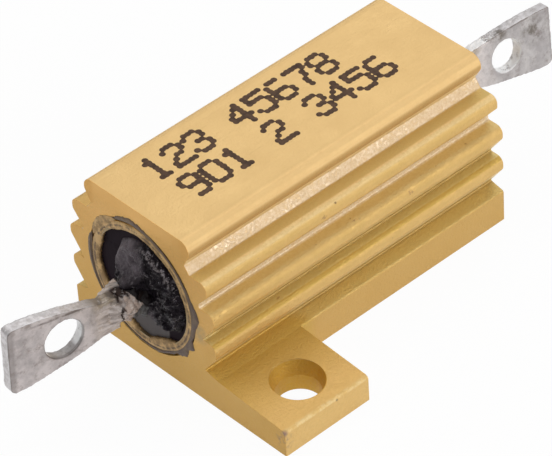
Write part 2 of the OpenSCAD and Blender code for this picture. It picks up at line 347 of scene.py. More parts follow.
def base_painted_light(add, x, y, aside, z, camera_side, colour):
    """The base in two tones of painted light and shade, plain gold further out, painted shade in each crease
    under the fins, and painted shade on each foot where it meets the body.
    """
    # Painted light and shade on the base below the fins
    low = ramp(add, z, 2.4, 2.3)
    slope = times(add, ramp(add, aside, 5.36, 5.3), low)
    colour = mix(add, slope, mix(add, low, colour, GOLD_FLANK_PAINTED_SHADE), GOLD_SLOPE_PAINTED_LIGHT)
    colour = mix(add, ramp(add, aside, 5.4, 5.6), colour, GOLD)
    # Painted shade in each crease under the fins, on the camera's side
    crease_shade = larger(add, within(add, z, 4.2, 4.8, 0.04), within(add, z, 2.05, 2.7, 0.04))
    crease_shade = times(add, crease_shade, ramp(add, aside, 4.64, 4.54), ramp(add, x, -9.7, -9.0), camera_side)
    colour = mix(add, crease_shade, colour, GOLD_CREASE_SHADE)
    on_foot = ramp(add, times(add, x, y), 18, 22)
    # Painted shade on the foot next to the body, where the body keeps light off it
    return mix(add, times(add, ramp(add, aside, 9.0, 5.6), low, on_foot), colour, GOLD_LOW_SHADE)


def plate_and_painted_light(add, aside, z, plate, colour):
    """The plate, a painted highlight on its rim, painted shade on the band under the rim, and the two sandier
    facets below with painted highlights.
    """
    colour = mix(add, plate, colour, GOLD_PLATE)
    # Painted highlight along the rim of the plate
    rim = times(add, ramp(add, aside, 3.2, 3.38), ramp(add, z, 9.5, 9.6))
    colour = mix(add, rim, colour, GOLD_RIM_HIGHLIGHT)
    # Painted shade on the plate's side under the rim
    under_rim_shade = times(add, ramp(add, aside, 3.6, 3.7), within(add, z, 8.95, 9.4, 0.12))
    colour = mix(add, under_rim_shade, colour, GOLD_UNDER_RIM_SHADE)
    # The two facets: a sandier grain of their own, and a painted highlight
    shoulder = times(add, within(add, aside, 3.40, 3.84, 0.04), within(add, z, 8.02, 8.46, 0.04))
    root = times(add, within(add, aside, 4.20, 4.42, 0.1), within(add, z, 6.16, 6.45, 0.06))
    colour = mix(add, root, mix(add, shoulder, colour, GOLD_FACET_HIGHLIGHT), GOLD_ROOT_HIGHLIGHT)
    return colour, larger(add, shoulder, root)


def wear_and_highlight(add, place, aside, z, colour):
    """Bruises on the fins, a painted highlight along the top edge of each foot, and the single marks."""
    ragged = noise_of(add, place, 3.0, 4, 0.7)
    noses = times(add, ramp(add, aside, 4.7, 4.85), ramp(add, z, 2.4, 2.5))
    bruises = times(add, noses, ramp(add, noise_of(add, place, 1.3, 4, 0.65), 0.66, 0.70), 0.8)
    colour = mix(add, bruises, colour, BRUISE)
    # Painted highlight along the top edge of each foot
    foot_edge_highlight = times(add, ramp(add, aside, 9.95, 10.1), within(add, z, 1.46, 1.6, 0.06))
    foot_edge_highlight = times(add, foot_edge_highlight, ramp(add, ragged, 0.42, 0.6, 0.0, 0.7))
    colour = mix(add, foot_edge_highlight, colour, FOOT_EDGE_HIGHLIGHT)
    colour = mix(add, near_to(add, place, NICK_AT, 0.02, 0.08), colour, NICK)
    colour = mix(add, near_to(add, place, SPECK_AT, 0.05, 0.05), colour, SPECK)
    # A darker spot on the end face
    dark_spot = times(add, near_to(add, place, END_DARK_SPOT_AT, 0.3, 0.5), ramp(add, ragged, 0.35, 0.6, 0.3, 0.8))
    colour = mix(add, dark_spot, colour, END_DARK_SPOT)
    scuff = near_to(add, place, SCUFF_AT, 0.08, 0.2)
    smear = times(add, near_to(add, place, SMEAR_AT, 0.2, 0.5), ramp(add, ragged, 0.46, 0.62, 0.0, 0.7))
    return mix(add, larger(add, scuff, smear), colour, SMEAR)


def anodised_aluminium():
    """Gold anodised extrusion with a sandy grain; the cut ends, the holes and the bore are deeper in colour,
    as painted shade.
    """
    mat, add = new_material("anodised_aluminium", Metallic=0.5, Specular_IOR_Level=0.12)
    place = millimetres(add)
    x, y, z = axes_of(add, place)
    aside = maths(add, "ABSOLUTE", y)
    camera_side = ramp(add, y, 0.5, -0.5)
    plate = ramp(add, z, TOP_Z - 0.9, TOP_Z - 0.5)
    mottle = noise_of(add, place, 0.55, 4, 0.6)
    colour = mix(add, ramp(add, mottle, 0.3, 0.7, 0.4, 1.0), GOLD_DEEP, GOLD)
    colour = painted_fin_light(add, aside, z, camera_side, colour)
    colour = base_painted_light(add, x, y, aside, z, camera_side, colour)
    colour, facets = plate_and_painted_light(add, aside, z, plate, colour)
    # Painted shade on the cut ends, darker towards the bottom
    cut = ramp(add, maths(add, "ABSOLUTE", x), END_X - 0.03, END_X - 0.01)
    colour = mix(add, cut, colour, mix(add, ramp(add, z, 2, 8), GOLD_END_LOW_SHADE, GOLD_END_SHADE))
    # Painted shade inside each screw hole
    folded = add("VectorMath", {0: place}, operation="ABSOLUTE").outputs[0]
    folded = add("VectorMath", {0: folded, 1: (1, 1, 0)}, operation="MULTIPLY").outputs[0]
    colour = mix(add, near_to(add, folded, SCREW_HOLE, SCREW_HOLE_R, 0.02), colour, GOLD_HOLE_SHADE)
    sand = ramp(add, noise_of(add, place, 6.5, 3, 0.7), 0.40, 0.62)
    sand = times(add, sand, ramp(add, plate, 0, 1, 1.0, 0.3))
    colour = mix(add, times(add, sand, ramp(add, facets, 0, 1, 0.24, 0.45)), colour, GOLD_DEEP)
    # Painted shade inside the bore
    colour = mix(add, near_to(add, axis_place(add, place), (0, 0, 0), BORE_R, 0.1), colour, GOLD_BORE_SHADE)
    wire(mat, wear_and_highlight(add, place, aside, z, colour), "Base Color")
    plate_side = times(add, ramp(add, aside, 3.1, 3.4), ramp(add, z, 8.5, 8.6), 0.16)
    wire(mat, maths(add, "ADD", ramp(add, mottle, 0.3, 0.7, 0.42, 0.54), plate_side), "Roughness")
    lines = noise_of(add, millimetres(add, (0.2, 6, 6)), 1.6, 3)
    first = bump(mat, add, lines, 0.02, 0.45)
    second = bump(mat, add, sand, 0.02, 0.7, first)
    bump(mat, add, noise_of(add, place, 0.9, 2), 0.06, 0.35, second)
    return mat


# ---------------------------------------------------------------- lip, residue, moulding and cement

LIP_BROWN = (0.38, 0.245, 0.115, 1)
LIP_GOLD = (0.72, 0.485, 0.225, 1)
LIP_CREASE = (0.17, 0.115, 0.075, 1)
RESIDUE_BROWN = (0.215, 0.148, 0.092, 1)
RESIDUE_DARK = (0.150, 0.104, 0.084, 1)
MOULDING_DARK = (0.020, 0.013, 0.018, 1)
MOULDING_LIGHT = (0.028, 0.019, 0.025, 1)
# Painted reflection of the floor, low on each end of the moulding
MOULDING_PAINTED_REFLECTION = (0.190, 0.175, 0.175, 1)
CEMENT_DARK = (0.0015, 0.001, 0.0015, 1)
CEMENT_LIGHT = (0.017, 0.013, 0.019, 1)
# Grey of the matte skin, partly a painted sheen
CEMENT_SKIN_SHEEN = (0.190, 0.163, 0.178, 1)
# Painted highlights along the rim of the bead and on fold lines
CEMENT_RIM_HIGHLIGHT = (0.33, 0.30, 0.31, 1)
# Painted glints
CEMENT_GLINT = (0.42, 0.39, 0.42, 1)
BLACK_SHINE = (1.0, 0.80, 0.95, 1)      # tint of the highlights on the black pieces


def worn_lip():
    """The metal rolled over the moulding: the finish has cracked and browned, with a dark crease round it."""
    mat, add = new_material("worn_lip", Metallic=0.3, Specular_IOR_Level=0.2, Roughness=0.55)
    place = millimetres(add)
    cloud = noise_of(add, place, 1.8, 5, 0.75)
    colour = mix(add, ramp(add, cloud, 0.42, 0.58), LIP_BROWN, LIP_GOLD)
    radius = gap_to(add, axis_place(add, place), (0, 0, 0))
    crease = times(add, within(add, radius, 3.50, 3.54, 0.06), ramp(add, cloud, 0.6, 0.45))
    wire(mat, mix(add, crease, colour, LIP_CREASE), "Base Color")
    bump(mat, add, noise_of(add, place, 4.5, 5, 0.7), 0.06, 0.7)
    return mat


def old_residue():
    """Cement pressed out of the seam, in two shades of brown."""
    mat, add = new_material("old_residue", Metallic=0.0, Roughness=0.5, Specular_IOR_Level=0.3)
    place = millimetres(add)
    cloud = noise_of(add, place, 1.5, 4, 0.7)
    wire(mat, mix(add, ramp(add, cloud, 0.4, 0.6), RESIDUE_BROWN, RESIDUE_DARK), "Base Color")
    bump(mat, add, noise_of(add, place, 5, 4, 0.7), 0.06, 0.7)
    return mat


def black_moulding():
    """Smooth and near black, with a painted reflection of the floor: a dull grey area low under the cement at
    each end.
    """
    mat, add = new_material("black_moulding", Metallic=0.0, Specular_IOR_Level=0.01,
                            Specular_Tint=BLACK_SHINE)
    place = millimetres(add)
    cloud = noise_of(add, place, 1.2, 4, 0.6)
    dark = mix(add, ramp(add, cloud, 0.35, 0.65), MOULDING_DARK, MOULDING_LIGHT)
    _, y, z = axes_of(add, place)
    # Painted reflection of the floor, low under the cement
    painted_reflection = times(add, within(add, z, 0.5, AXIS_Z - 1.5, 0.15), within(add, y, -1.55, 1.5, 0.12))
    wire(mat, mix(add, painted_reflection, dark, MOULDING_PAINTED_REFLECTION), "Base Color")
    wire(mat, ramp(add, cloud, 0.3, 0.7, 0.25, 0.4), "Roughness")
    bump(mat, add, noise_of(add, place, 3, 3, 0.6), 0.02, 0.4)
    return mat


def cement_rim_highlights(add, own, fine):
    """Masks of painted highlights along the rim of a bead: a grey line with a brighter streak, and where
    painted glints lie.
    """
    _, y, z = axes_of(add, own)
    radius = gap_to(add, own, (0, 0, 0))
    line = times(add, within(add, radius, 1.95, 2.4, 0.1), ramp(add, y, 0.9, 1.4), ramp(add, fine, 0.45, 0.6))
    streak = times(add, within(add, radius, 2.22, 2.25, 0.06), ramp(add, y, 0.4, 0), ramp(add, z, 0.7, 1.3),
                   ramp(add, fine, 0.45, 0.55, 0.1, 1.5))
    glinting = times(add, within(add, radius, 2.18, 2.32, 0.06), ramp(add, y, 0.3, 0),
                   ramp(add, z, 0.4, 1.2, 0.45, 1.0))
    return larger(add, line, streak), glinting


def black_cement(end):
    """Glossy and near black: a grey skin towards +Y and a soft grey foot, their grey partly a painted sheen,
    with painted highlights along the rim and on faint fold lines, and painted glints.
    """
    mat, add = new_material("black_cement_" + end, Metallic=0.0, Specular_Tint=BLACK_SHINE)
    middle = (0, *BEAD_MIDDLE[end])
    place = millimetres(add)
    own = add("VectorMath", {0: axis_place(add, place), 1: middle}, operation="SUBTRACT").outputs[0]
    cloud = noise_of(add, place, 1.8, 5, 0.65)
    fine = noise_of(add, place, 5, 4, 0.75)
    colour = mix(add, ramp(add, cloud, 0.45, 0.75), CEMENT_DARK, CEMENT_LIGHT)
    # Grey skin and foot: a matte skin of their own, with a painted sheen in their grey
    skin = near_to(add, own, (0, 1.05, 1.3), 0.85, 0.6)
    foot = near_to(add, own, (0, -0.1, -1.75), 0.35, 0.45)
    grey = times(add, larger(add, skin, foot), ramp(add, cloud, 0.35, 0.62, 0.45, 1.0))
    colour = mix(add, grey, colour, CEMENT_SKIN_SHEEN)
    # Painted highlights on fold lines, and along the rim
    fold_highlights = maths(add, "ABSOLUTE", maths(add, "SUBTRACT", noise_of(add, place, 0.75, 3, 0.6), 0.5))
    fold_highlights = times(add, ramp(add, fold_highlights, 0.004, 0.03, 0.8, 0.0), ramp(add, fine, 0.45, 0.6))
    rim, glinting = cement_rim_highlights(add, own, fine)
    colour = mix(add, times(add, larger(add, rim, fold_highlights), 0.55), colour, CEMENT_RIM_HIGHLIGHT)
    # Painted glints, along the rim and scattered
    strewn = times(add, ramp(add, noise_of(add, place, 0.9, 2), 0.56, 0.62), ramp(add, fine, 0.6, 0.66), 0.6)
    cement_glints = larger(add, times(add, ramp(add, fine, 0.575, 0.62), glinting), strewn)
    wire(mat, mix(add, times(add, cement_glints, 0.75), colour, CEMENT_GLINT), "Base Color")
    wire(mat, ramp(add, grey, 0, 1, 0.14, 0.5), "Roughness")
    wire(mat, ramp(add, grey, 0, 1, 0.13, 0.1), "Specular IOR Level")
    first = bump(mat, add, cloud, 0.3, 0.8)
    bump(mat, add, fine, 0.05, 0.5, first)
    return mat


# ---------------------------------------------------------------- tin and flux

# The faces of each lug: two shades of tin
TIN = {"front": ((0.43, 0.390, 0.385, 1), (0.62, 0.560, 0.55, 1)),
       "rear": ((0.46, 0.430, 0.43, 1), (0.62, 0.590, 0.58, 1))}
TIN_STAIN = (0.27, 0.22, 0.20, 1)
TIN_PALE = (0.80, 0.740, 0.72, 1)
# Painted highlight, in the hole of each lug and on a facet of the far lug
TIN_HIGHLIGHT = (1.0, 1.0, 1.0, 1)
# Painted light on the edges of the lugs
EDGE_HIGHLIGHT = (0.78, 0.755, 0.765, 1)
EDGE_HIGHLIGHT_DULL = (0.57, 0.54, 0.535, 1)
EDGE_HIGHLIGHT_FLAT = (0.74, 0.73, 0.74, 1)
# Painted shade where the lug's faces start to turn into their edges
EDGE_SHADE = (0.20, 0.155, 0.135, 1)
BLOT = (0.17, 0.145, 0.12, 1)
DARK_LINE = (0.17, 0.14, 0.125, 1)
DARK_TIP = (0.24, 0.21, 0.20, 1)
HOLE_SHADE = (0.20, 0.175, 0.165, 1)
NECK_PALE = (0.74, 0.66, 0.62, 1)
NECK_BEIGE = (0.35, 0.285, 0.19, 1)
# Painted shade between the ribs of the neck
NECK_RIB_SHADE = (0.21, 0.16, 0.14, 1)
# Painted highlights on the far side of the neck
NECK_FAR_HIGHLIGHT = (0.92, 0.85, 0.82, 1)
# Painted glints on the neck
NECK_GLINT = (0.86, 0.80, 0.77, 1)
NECK_BLACK = (0.045, 0.03, 0.026, 1)
FLUX_BROWN = (0.24, 0.170, 0.13, 1)
FLUX_PINK = (0.66, 0.53, 0.46, 1)
# Painted glints on the crust
FLUX_GLINT = (0.84, 0.76, 0.71, 1)
FLUX_CRACK = (0.09, 0.06, 0.05, 1)
FLUX_GREY = (0.100, 0.095, 0.093, 1)
FLUX_BLACK = (0.014, 0.009, 0.009, 1)


def own_axes(add, vector, end, places=True):
    """A place, or a direction, turned into the terminal's own frame: along it, across it and up."""
    back = terminal_matrix(end).inverted()
    turned = []
    for row in (back[0], back[1], back[2]):
        along = add("VectorMath", {0: vector, 1: row[:3]}, operation="DOT_PRODUCT").outputs["Value"]
        turned.append(maths(add, "ADD", along, row[3] if places else 0.0))
    return turned


def towards_camera(add, y, end):
    """How far a place lies across the terminal towards the object's -Y side, which the camera sees."""
    return times(add, y, -SIDE[end])


def tin_neck(add, x, seen_side, z, fine, colour):
    """Round the pinched neck: black and beige on top, painted highlights on its far side, painted glints,
    dark streaks of painted shade between the ribs, and a crack.
    """
    top = ramp(add, stray(add, z, fine, 0.3), 0.72, 0.88)
    colour = mix(add, times(add, within(add, x, 1.5, 2.9, 0.3), 0.6), colour, NECK_PALE)
    beige = times(add, within(add, x, 1.8, 2.9, 0.5), top, ramp(add, fine, 0.4, 0.6, 0.9, 0.5), 0.85)
    colour = mix(add, beige, colour, NECK_BEIGE)
    # Dark streaks along the ribs: painted shade between them
    drawn_out = add("CombineXYZ", {0: times(add, x, 0.5), 2: times(add, z, 3.0)}).outputs[0]
    streaks = ramp(add, noise_of(add, drawn_out, 1.4, 3, 0.6), 0.48, 0.60, 0.0, 0.45)
    colour = mix(add, times(add, within(add, x, 1.5, 2.6, 0.5), streaks), colour, NECK_RIB_SHADE)
    # Painted highlights on the far side of the neck
    far_highlights = times(add, within(add, x, 1.2, 2.3, 0.2), ramp(add, seen_side, -0.35, -0.5),
                  ramp(add, fine, 0.35, 0.5))
    colour = mix(add, far_highlights, colour, NECK_FAR_HIGHLIGHT)
    # Painted glints on the neck
    neck_glints = times(add, within(add, x, 1.3, 2.8, 0.3), ramp(add, fine, 0.57, 0.63, 0.0, 0.8))
    colour = mix(add, neck_glints, colour, NECK_GLINT)
    on_top = times(add, top, ramp(add, seen_side, -0.6, -0.4), ramp(add, x, 1.9, 1.7))
    crack = times(add, within(add, stray(add, x, fine, 0.1), 1.50, 1.58, 0.05), ramp(add, z, 0.5, 0.3))
    return mix(add, larger(add, on_top, ramp(add, x, 0.8, 0.6), crack), colour, NECK_BLACK)


def tin_edges(add, facing, cloud, fine, colour):
    """Edges painted lighter where the surface turns away from the lug's faces, with painted shade where it
    starts to turn.
    """
    # Painted light on the edges, by which way the surface faces
    edge = mix(add, ramp(add, fine, 0.42, 0.6), EDGE_HIGHLIGHT, EDGE_HIGHLIGHT_DULL)
    edge = mix(add, within(add, facing, -1, 0.12, 0.15), EDGE_HIGHLIGHT_FLAT, edge)
    colour = mix(add, ramp(add, facing, 0.5, 0.9, 0.9, 0.0), colour, edge)
    # Painted shade where the faces start to turn
    edge_shade = times(add, within(add, facing, 0.45, 0.85, 0.1), ramp(add, cloud, 0.35, 0.6, 0.9, 0.3))
    return mix(add, edge_shade, colour, EDGE_SHADE)


def front_hole(add, y, z, wall, cloud, colour, tin_highlight):
    """The wall of the near lug's hole: its painted highlight is turned down at the bottom and next to the
    face that the camera sees, where it is shaded.
    """
    tin_highlight = times(add, tin_highlight, ramp(add, y, 0.12, 0.2, 1.0, 0.1), ramp(add, z, -0.7, -0.9, 1.0, 0.1))
    shaded = larger(add, ramp(add, y, 0.12, 0.2), ramp(add, z, -0.7, -0.9, 0.0, 0.8))
    shaded = times(add, shaded, wall, ramp(add, cloud, 0.35, 0.6, 0.9, 0.6))
    return mix(add, shaded, colour, HOLE_SHADE), tin_highlight


def rear_marks(add, place, on_face, x, z, facing, fine, colour, tin_highlight):
    """The far lug: pale beside the neck, with a painted highlight on a facet of the edge there, and two dark
    blots.
    """
    # Painted highlight on a facet of the upper edge beside the neck
    facet = times(add, within(add, stray(add, x, fine, 0.6), 2.3, 3.9, 0.2), ramp(add, z, 0.9, 1.1))
    tin_highlight = larger(add, tin_highlight, times(add, facet, ramp(add, facing, 0.5, 0.7, 1.0, 0.0)))
    pale = times(add, ramp(add, x, 4.4, 3.4), ramp(add, fine, 0.4, 0.6, 0.85, 0.5))
    colour = mix(add, pale, colour, TIN_PALE)
    blots = larger(add, near_to(add, on_face, (6.9, 0, 0.7), 0.3, 0.8),
                   near_to(add, on_face, (4.5, 0, 1.4), 0.25, 0.5))
    blots = times(add, blots, ramp(add, noise_of(add, place, 1.7, 4, 0.65), 0.44, 0.6, 0.0, 0.85))
    return mix(add, blots, colour, BLOT), tin_highlight


def tinned_metal(end):
    """Dull tin: stained faces, painted light and shade on the edges, a dark line above the hole, and a
    painted highlight on the wall of the hole.
    """
    mat, add = new_material("tinned_metal_" + end, Specular_IOR_Level=0.3)
    place = millimetres(add)
    x, y, z = own_axes(add, place, end)
    facing = maths(add, "ABSOLUTE", own_axes(add, add("TexCoord").outputs["Normal"], end, places=False)[1])
    cloud = noise_of(add, place, 0.9, 5, 0.65)
    fine = noise_of(add, place, 3.2, 5, 0.75)
    colour = mix(add, ramp(add, cloud, 0.40, 0.62), *TIN[end])
    stained = ramp(add, noise_of(add, place, 2.2, 5, 0.7), 0.52, 0.66, 0, 0.65)
    colour = tin_edges(add, facing, cloud, fine, mix(add, stained, colour, TIN_STAIN))
    on_face = add("CombineXYZ", {0: x, 2: z}).outputs[0]
    wall = near_to(add, on_face, (LUG_HOLE_AT, 0, 0), HOLE_R[end] + 0.02, 0.05)
    # Painted highlight on the wall of the hole
    tin_highlight = times(add, wall, ramp(add, fine, 0.56, 0.64, 1.0, 0.3))
    if end == "front":
        colour, tin_highlight = front_hole(add, y, z, wall, cloud, colour, tin_highlight)
    else:
        colour, tin_highlight = rear_marks(add, place, on_face, x, z, facing, fine, colour, tin_highlight)
    above_hole = maths(add, "SUBTRACT", z, times(add, x, 0.095))
    line = times(add, within(add, above_hole, 1.0, 1.06, 0.07), within(add, x, 3.4, 6.4, 0.8),
                 ramp(add, facing, 0.5, 0.7),
                 ramp(add, noise_of(add, place, 1.0, 4, 0.6), 0.40, 0.55, 0.25, 0.95))
    colour = mix(add, line, colour, DARK_LINE)
    tip = times(add, ramp(add, x, 7.8, 7.95), ramp(add, facing, 0.15, 0.5), 0.5)
    colour = mix(add, tip, colour, DARK_TIP)
    colour = tin_neck(add, x, towards_camera(add, y, end), z, fine, colour)
    wire(mat, mix(add, tin_highlight, colour, TIN_HIGHLIGHT), "Base Color")
    wire(mat, ramp(add, tin_highlight, 0, 1, 0.6, 0.1), "Metallic")
    dull = ramp(add, cloud, 0.3, 0.7, 0.52, 0.36)
    wire(mat, maths(add, "SUBTRACT", dull, times(add, tin_highlight, 0.1)), "Roughness")
    calm = ramp(add, tin_highlight, 0, 1, 1.0, 0.15)
    scratches = noise_of(add, millimetres(add, (0.6, 5, 5)), 1.5, 4)
    first = bump(mat, add, times(add, scratches, calm), 0.04, 0.5)
    bump(mat, add, times(add, fine, calm), 0.06, 0.5, first)
    return mat


def flux_crust(end):
    """Solder and flux round the neck: pinkish lumps with painted glints, brown in the hollows, with black
    cement over the top.
    """
    mat, add = new_material("flux_crust_" + end, Metallic=0.1, Roughness=0.45, Specular_IOR_Level=0.3)
    place = millimetres(add)
    x, y, z = own_axes(add, place, end)
    cloud = noise_of(add, place, 2.2, 5, 0.75)
    ragged = noise_of(add, place, 1.6, 4, 0.65)
    colour = mix(add, ramp(add, cloud, 0.32, 0.48), FLUX_BROWN, FLUX_PINK)
    # Painted glints on the crust
    colour = mix(add, ramp(add, noise_of(add, place, 3.4, 4, 0.7), 0.58, 0.64, 0.0, 0.8), colour, FLUX_GLINT)
    crack = times(add, within(add, stray(add, x, cloud, 0.12), 1.48, 1.58, 0.08), ramp(add, z, 0.5, 0.3))
    colour = mix(add, crack, colour, FLUX_CRACK)
    under = stray(add, maths(add, "ADD", z, times(add, x, 0.83)), ragged, 0.15)
    under = times(add, ramp(add, under, 0.56, 0.48), ramp(add, x, 1.05, 0.9))
    colour = mix(add, under, colour, FLUX_GREY)
    over = stray(add, maths(add, "SUBTRACT", z, times(add, x, 1.15)), ragged, 0.15)
    on_top = times(add, ramp(add, stray(add, z, ragged, 0.15), 0.86, 0.94),
                   ramp(add, towards_camera(add, y, end), -0.5, -0.3))
    start = times(add, ramp(add, x, 0.42, 0.32), ramp(add, z, -0.1, 0.1))
    black = larger(add, ramp(add, over, -0.30, -0.22), on_top, start)
    wire(mat, mix(add, black, colour, FLUX_BLACK), "Base Color")
    bump(mat, add, noise_of(add, place, 3, 4, 0.65), 0.16, 0.8)
    return mat


# ---------------------------------------------------------------- plain materials and ink

CERAMIC = (0.85, 0.83, 0.78, 1)
ALLOY = (0.45, 0.42, 0.40, 1)
STEEL = (0.55, 0.55, 0.56, 1)
INK_DARK = (0.070, 0.040, 0.025, 1)
INK_LIGHT = (0.130, 0.073, 0.043, 1)


def plain_inner(name, colour, metallic, roughness):
    """A slightly clouded colour, for what lies out of sight in the moulding."""
    mat, add = new_material(name, Metallic=metallic)
    cloud = noise_of(add, millimetres(add), 3, 3)
    darker = [c * 0.85 for c in colour[:3]] + [1]
    wire(mat, mix(add, cloud, colour, darker), "Base Color")
    wire(mat, ramp(add, cloud, 0.3, 0.7, roughness, roughness + 0.1), "Roughness")
    return mat


def marking_ink():
    mat, add = new_material("marking_ink", Metallic=0.0, Roughness=0.6, Specular_IOR_Level=0.2)
    cloud = noise_of(add, millimetres(add), 3, 4)
    wire(mat, mix(add, ramp(add, cloud, 0.35, 0.65), INK_DARK, INK_LIGHT), "Base Color")
    return mat


# ---------------------------------------------------------------- mesh helpers

def add_piece(name, mesh, mat):
    """Link a mesh drawn in millimetres as a piece on the root body."""
    mesh.transform(Matrix.Scale(MM, 4))
    mesh.materials.clear()
    mesh.materials.append(mat)
    mesh.polygons.foreach_set("use_smooth", [True] * len(mesh.polygons))
    piece = bpy.data.objects.new(name, mesh)
    bpy.context.scene.collection.objects.link(piece)
    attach(piece, "root")
    return piece


def modified(mesh, *modifiers):
    """A new mesh: this one with modifiers applied, each (type, settings)."""
    carrier = bpy.data.objects.new("carrier", mesh)
    bpy.context.scene.collection.objects.link(carrier)
    for kind, settings in modifiers:
        modifier = carrier.modifiers.new(kind.lower(), kind)
        for key, value in settings.items():
            setattr(modifier, key, value)
    evaluated = carrier.evaluated_get(bpy.context.evaluated_depsgraph_get())
    result = bpy.data.meshes.new_from_object(evaluated)
    bpy.data.objects.remove(carrier)
    return result


def one_skin(mesh, cell, rounds):
    """The outside of everything in the mesh as one even skin, smoothed a number of times."""
    return modified(mesh, ("REMESH", {"mode": "VOXEL", "voxel_size": cell}),
                    ("SMOOTH", {"factor": 0.5, "iterations": rounds}))


def displace(mesh, amount):
    """Move every vertex along its normal by amount(place)."""
    normals = [vertex.normal.copy() for vertex in mesh.vertices]
    for vertex, normal in zip(mesh.vertices, normals):
        vertex.co = vertex.co + normal * amount(vertex.co)
    return mesh


def millimetre_copy(node):
    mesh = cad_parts[node].data.copy()
    mesh.transform(Matrix.Scale(1 / MM, 4))
    return mesh


def mesh_from(name, verts, faces):
    """A mesh with its faces turned outwards."""
    mesh = bpy.data.meshes.new(name)
    mesh.from_pydata(verts, [], faces)
    bm = bmesh.new()
    bm.from_mesh(mesh)
    bmesh.ops.recalc_face_normals(bm, faces=bm.faces)
    bm.to_mesh(mesh)
    bm.free()
    return mesh


def skin_over(name, sections, loop=False):
    """A closed skin through a row of sections with equal numbers of points."""
    count, rows = len(sections[0]), len(sections)
    faces = []
    for i in range(rows if loop else rows - 1):
        a, b = i * count, (i + 1) % rows * count
        faces += [(a + j, a + (j + 1) % count, b + (j + 1) % count, b + j) for j in range(count)]
    if not loop:
        faces += [tuple(range(count)), tuple(range((rows - 1) * count, rows * count))]
    return mesh_from(name, [point for section in sections for point in section], faces)


def between(stations, at):
    """Values at a place between listed stations (place, value, ...), straight from one to the next."""
    for (low, *first), (high, *second) in zip(stations, stations[1:]):
        if low <= at <= high:
            share = (at - low) / (high - low)
            return [a + (b - a) * share for a, b in zip(first, second)]
    return list(stations[-1][1:])


def lumps(place, *waves):
    """Noise in layers, each (size of a lump, height)."""
    return sum(height * noise.noise(place / size) for size, height in waves)


# ---------------------------------------------------------------- rolled lip and residue on the end faces

def on_end(side, radius, degrees, out):
    """A place about the bore axis, so far out from the end face; 0 degrees is the camera's left, 90 is up."""
    turn = math.radians(degrees)
    return Vector((side * (END_X + out), -side * radius * math.cos(turn), AXIS_Z + radius * math.sin(turn)))


# The lip: angle and radius of its inner edge; its section, as share of the way from there to its outer radius
# and height over the end face; that radius; and the steps round it
LIP_EDGE = ((0, 3.26), (20, 3.17), (43, 3.38), (60, 3.2), (90, 3.26), (118, 3.14), (138, 3.26), (158, 3.17),
            (180, 3.36), (205, 3.27), (226, 3.32), (238, 3.02), (258, 3.08), (270, 3.42), (284, 3.2),
            (310, 3.05), (340, 3.14), (360, 3.26))
LIP_SECTION = ((1.0, -0.04), (0.98, 0.012), (0.72, 0.034), (0.4, 0.03), (0.12, 0.005), (0.0, -0.05),
               (0.03, -SUNK), (0.8, -SUNK))
LIP_OUT = 3.73
LIP_STEPS = 720


def lip(end, mat):
    """Metal rolled in over the moulding, with a torn inner edge."""
    side = SIDE[end]
    sections = []
    for step in range(LIP_STEPS):
        angle = 360 * step / LIP_STEPS
        along = Vector((angle / 60, side, 0))
        torn = 1 + 3 * max(0.0, noise.noise(along * 1.7))
        inner = between(LIP_EDGE, angle)[0] + torn * lumps(along, (0.12, 0.04), (0.04, 0.04))
        section = []
        for share, out in LIP_SECTION:
            uneven = 0.008 * noise.noise(Vector((angle / 20, share * 2, side)))
            section.append(on_end(side, inner + share * (LIP_OUT - inner), angle, out + uneven))
        sections.append(section)
    return add_piece("rolled_lip_" + end, skin_over("lip", sections, loop=True), mat)


# What was pressed out of the seam: angle, inner and outer radius
SEAM_LONG = ((62, 3.88, 3.94), (70, 3.82, 4.08), (84, 3.84, 4.18), (98, 3.76, 4.02), (112, 3.70, 3.90),
             (130, 3.72, 3.86), (150, 3.71, 3.88), (161, 3.70, 3.98), (170, 3.66, 4.2), (176, 3.64, 4.28),
             (188, 3.62, 3.98), (202, 3.64, 3.9), (208, 3.64, 4.26), (214, 3.62, 4.0), (222, 3.62, 4.2),
             (232, 3.64, 3.84), (246, 3.68, 3.86), (256, 3.74, 3.95), (272, 3.76, 3.87), (300, 3.78, 3.86))
SEAM_OUTER = ((-36, 3.80, 3.93), (-20, 3.72, 3.98), (0, 3.74, 4.05), (14, 3.76, 4.08), (23, 3.86, 4.0))
SEAM_INNER = ((-30, 3.82, 3.87), (-10, 3.80, 3.88), (5, 3.84, 3.93), (20, 3.90, 3.96))
SEAM_CLOSED = ((22, 3.72, 3.86), (30, 3.64, 4.06), (42, 3.62, 4.16), (54, 3.66, 4.08), (66, 3.74, 3.88))
SEAM_STEP = 0.6                 # degrees from one section of a band to the next
SEAM_ROUND = 0.01               # how far in its edges are rounded
SEAM_MIN = 0.03                 # its least width
SEAM_SINK = 0.03                # how far it goes into the end face
REAR_TURN = 140                 # how far round the bands are turned on the other end


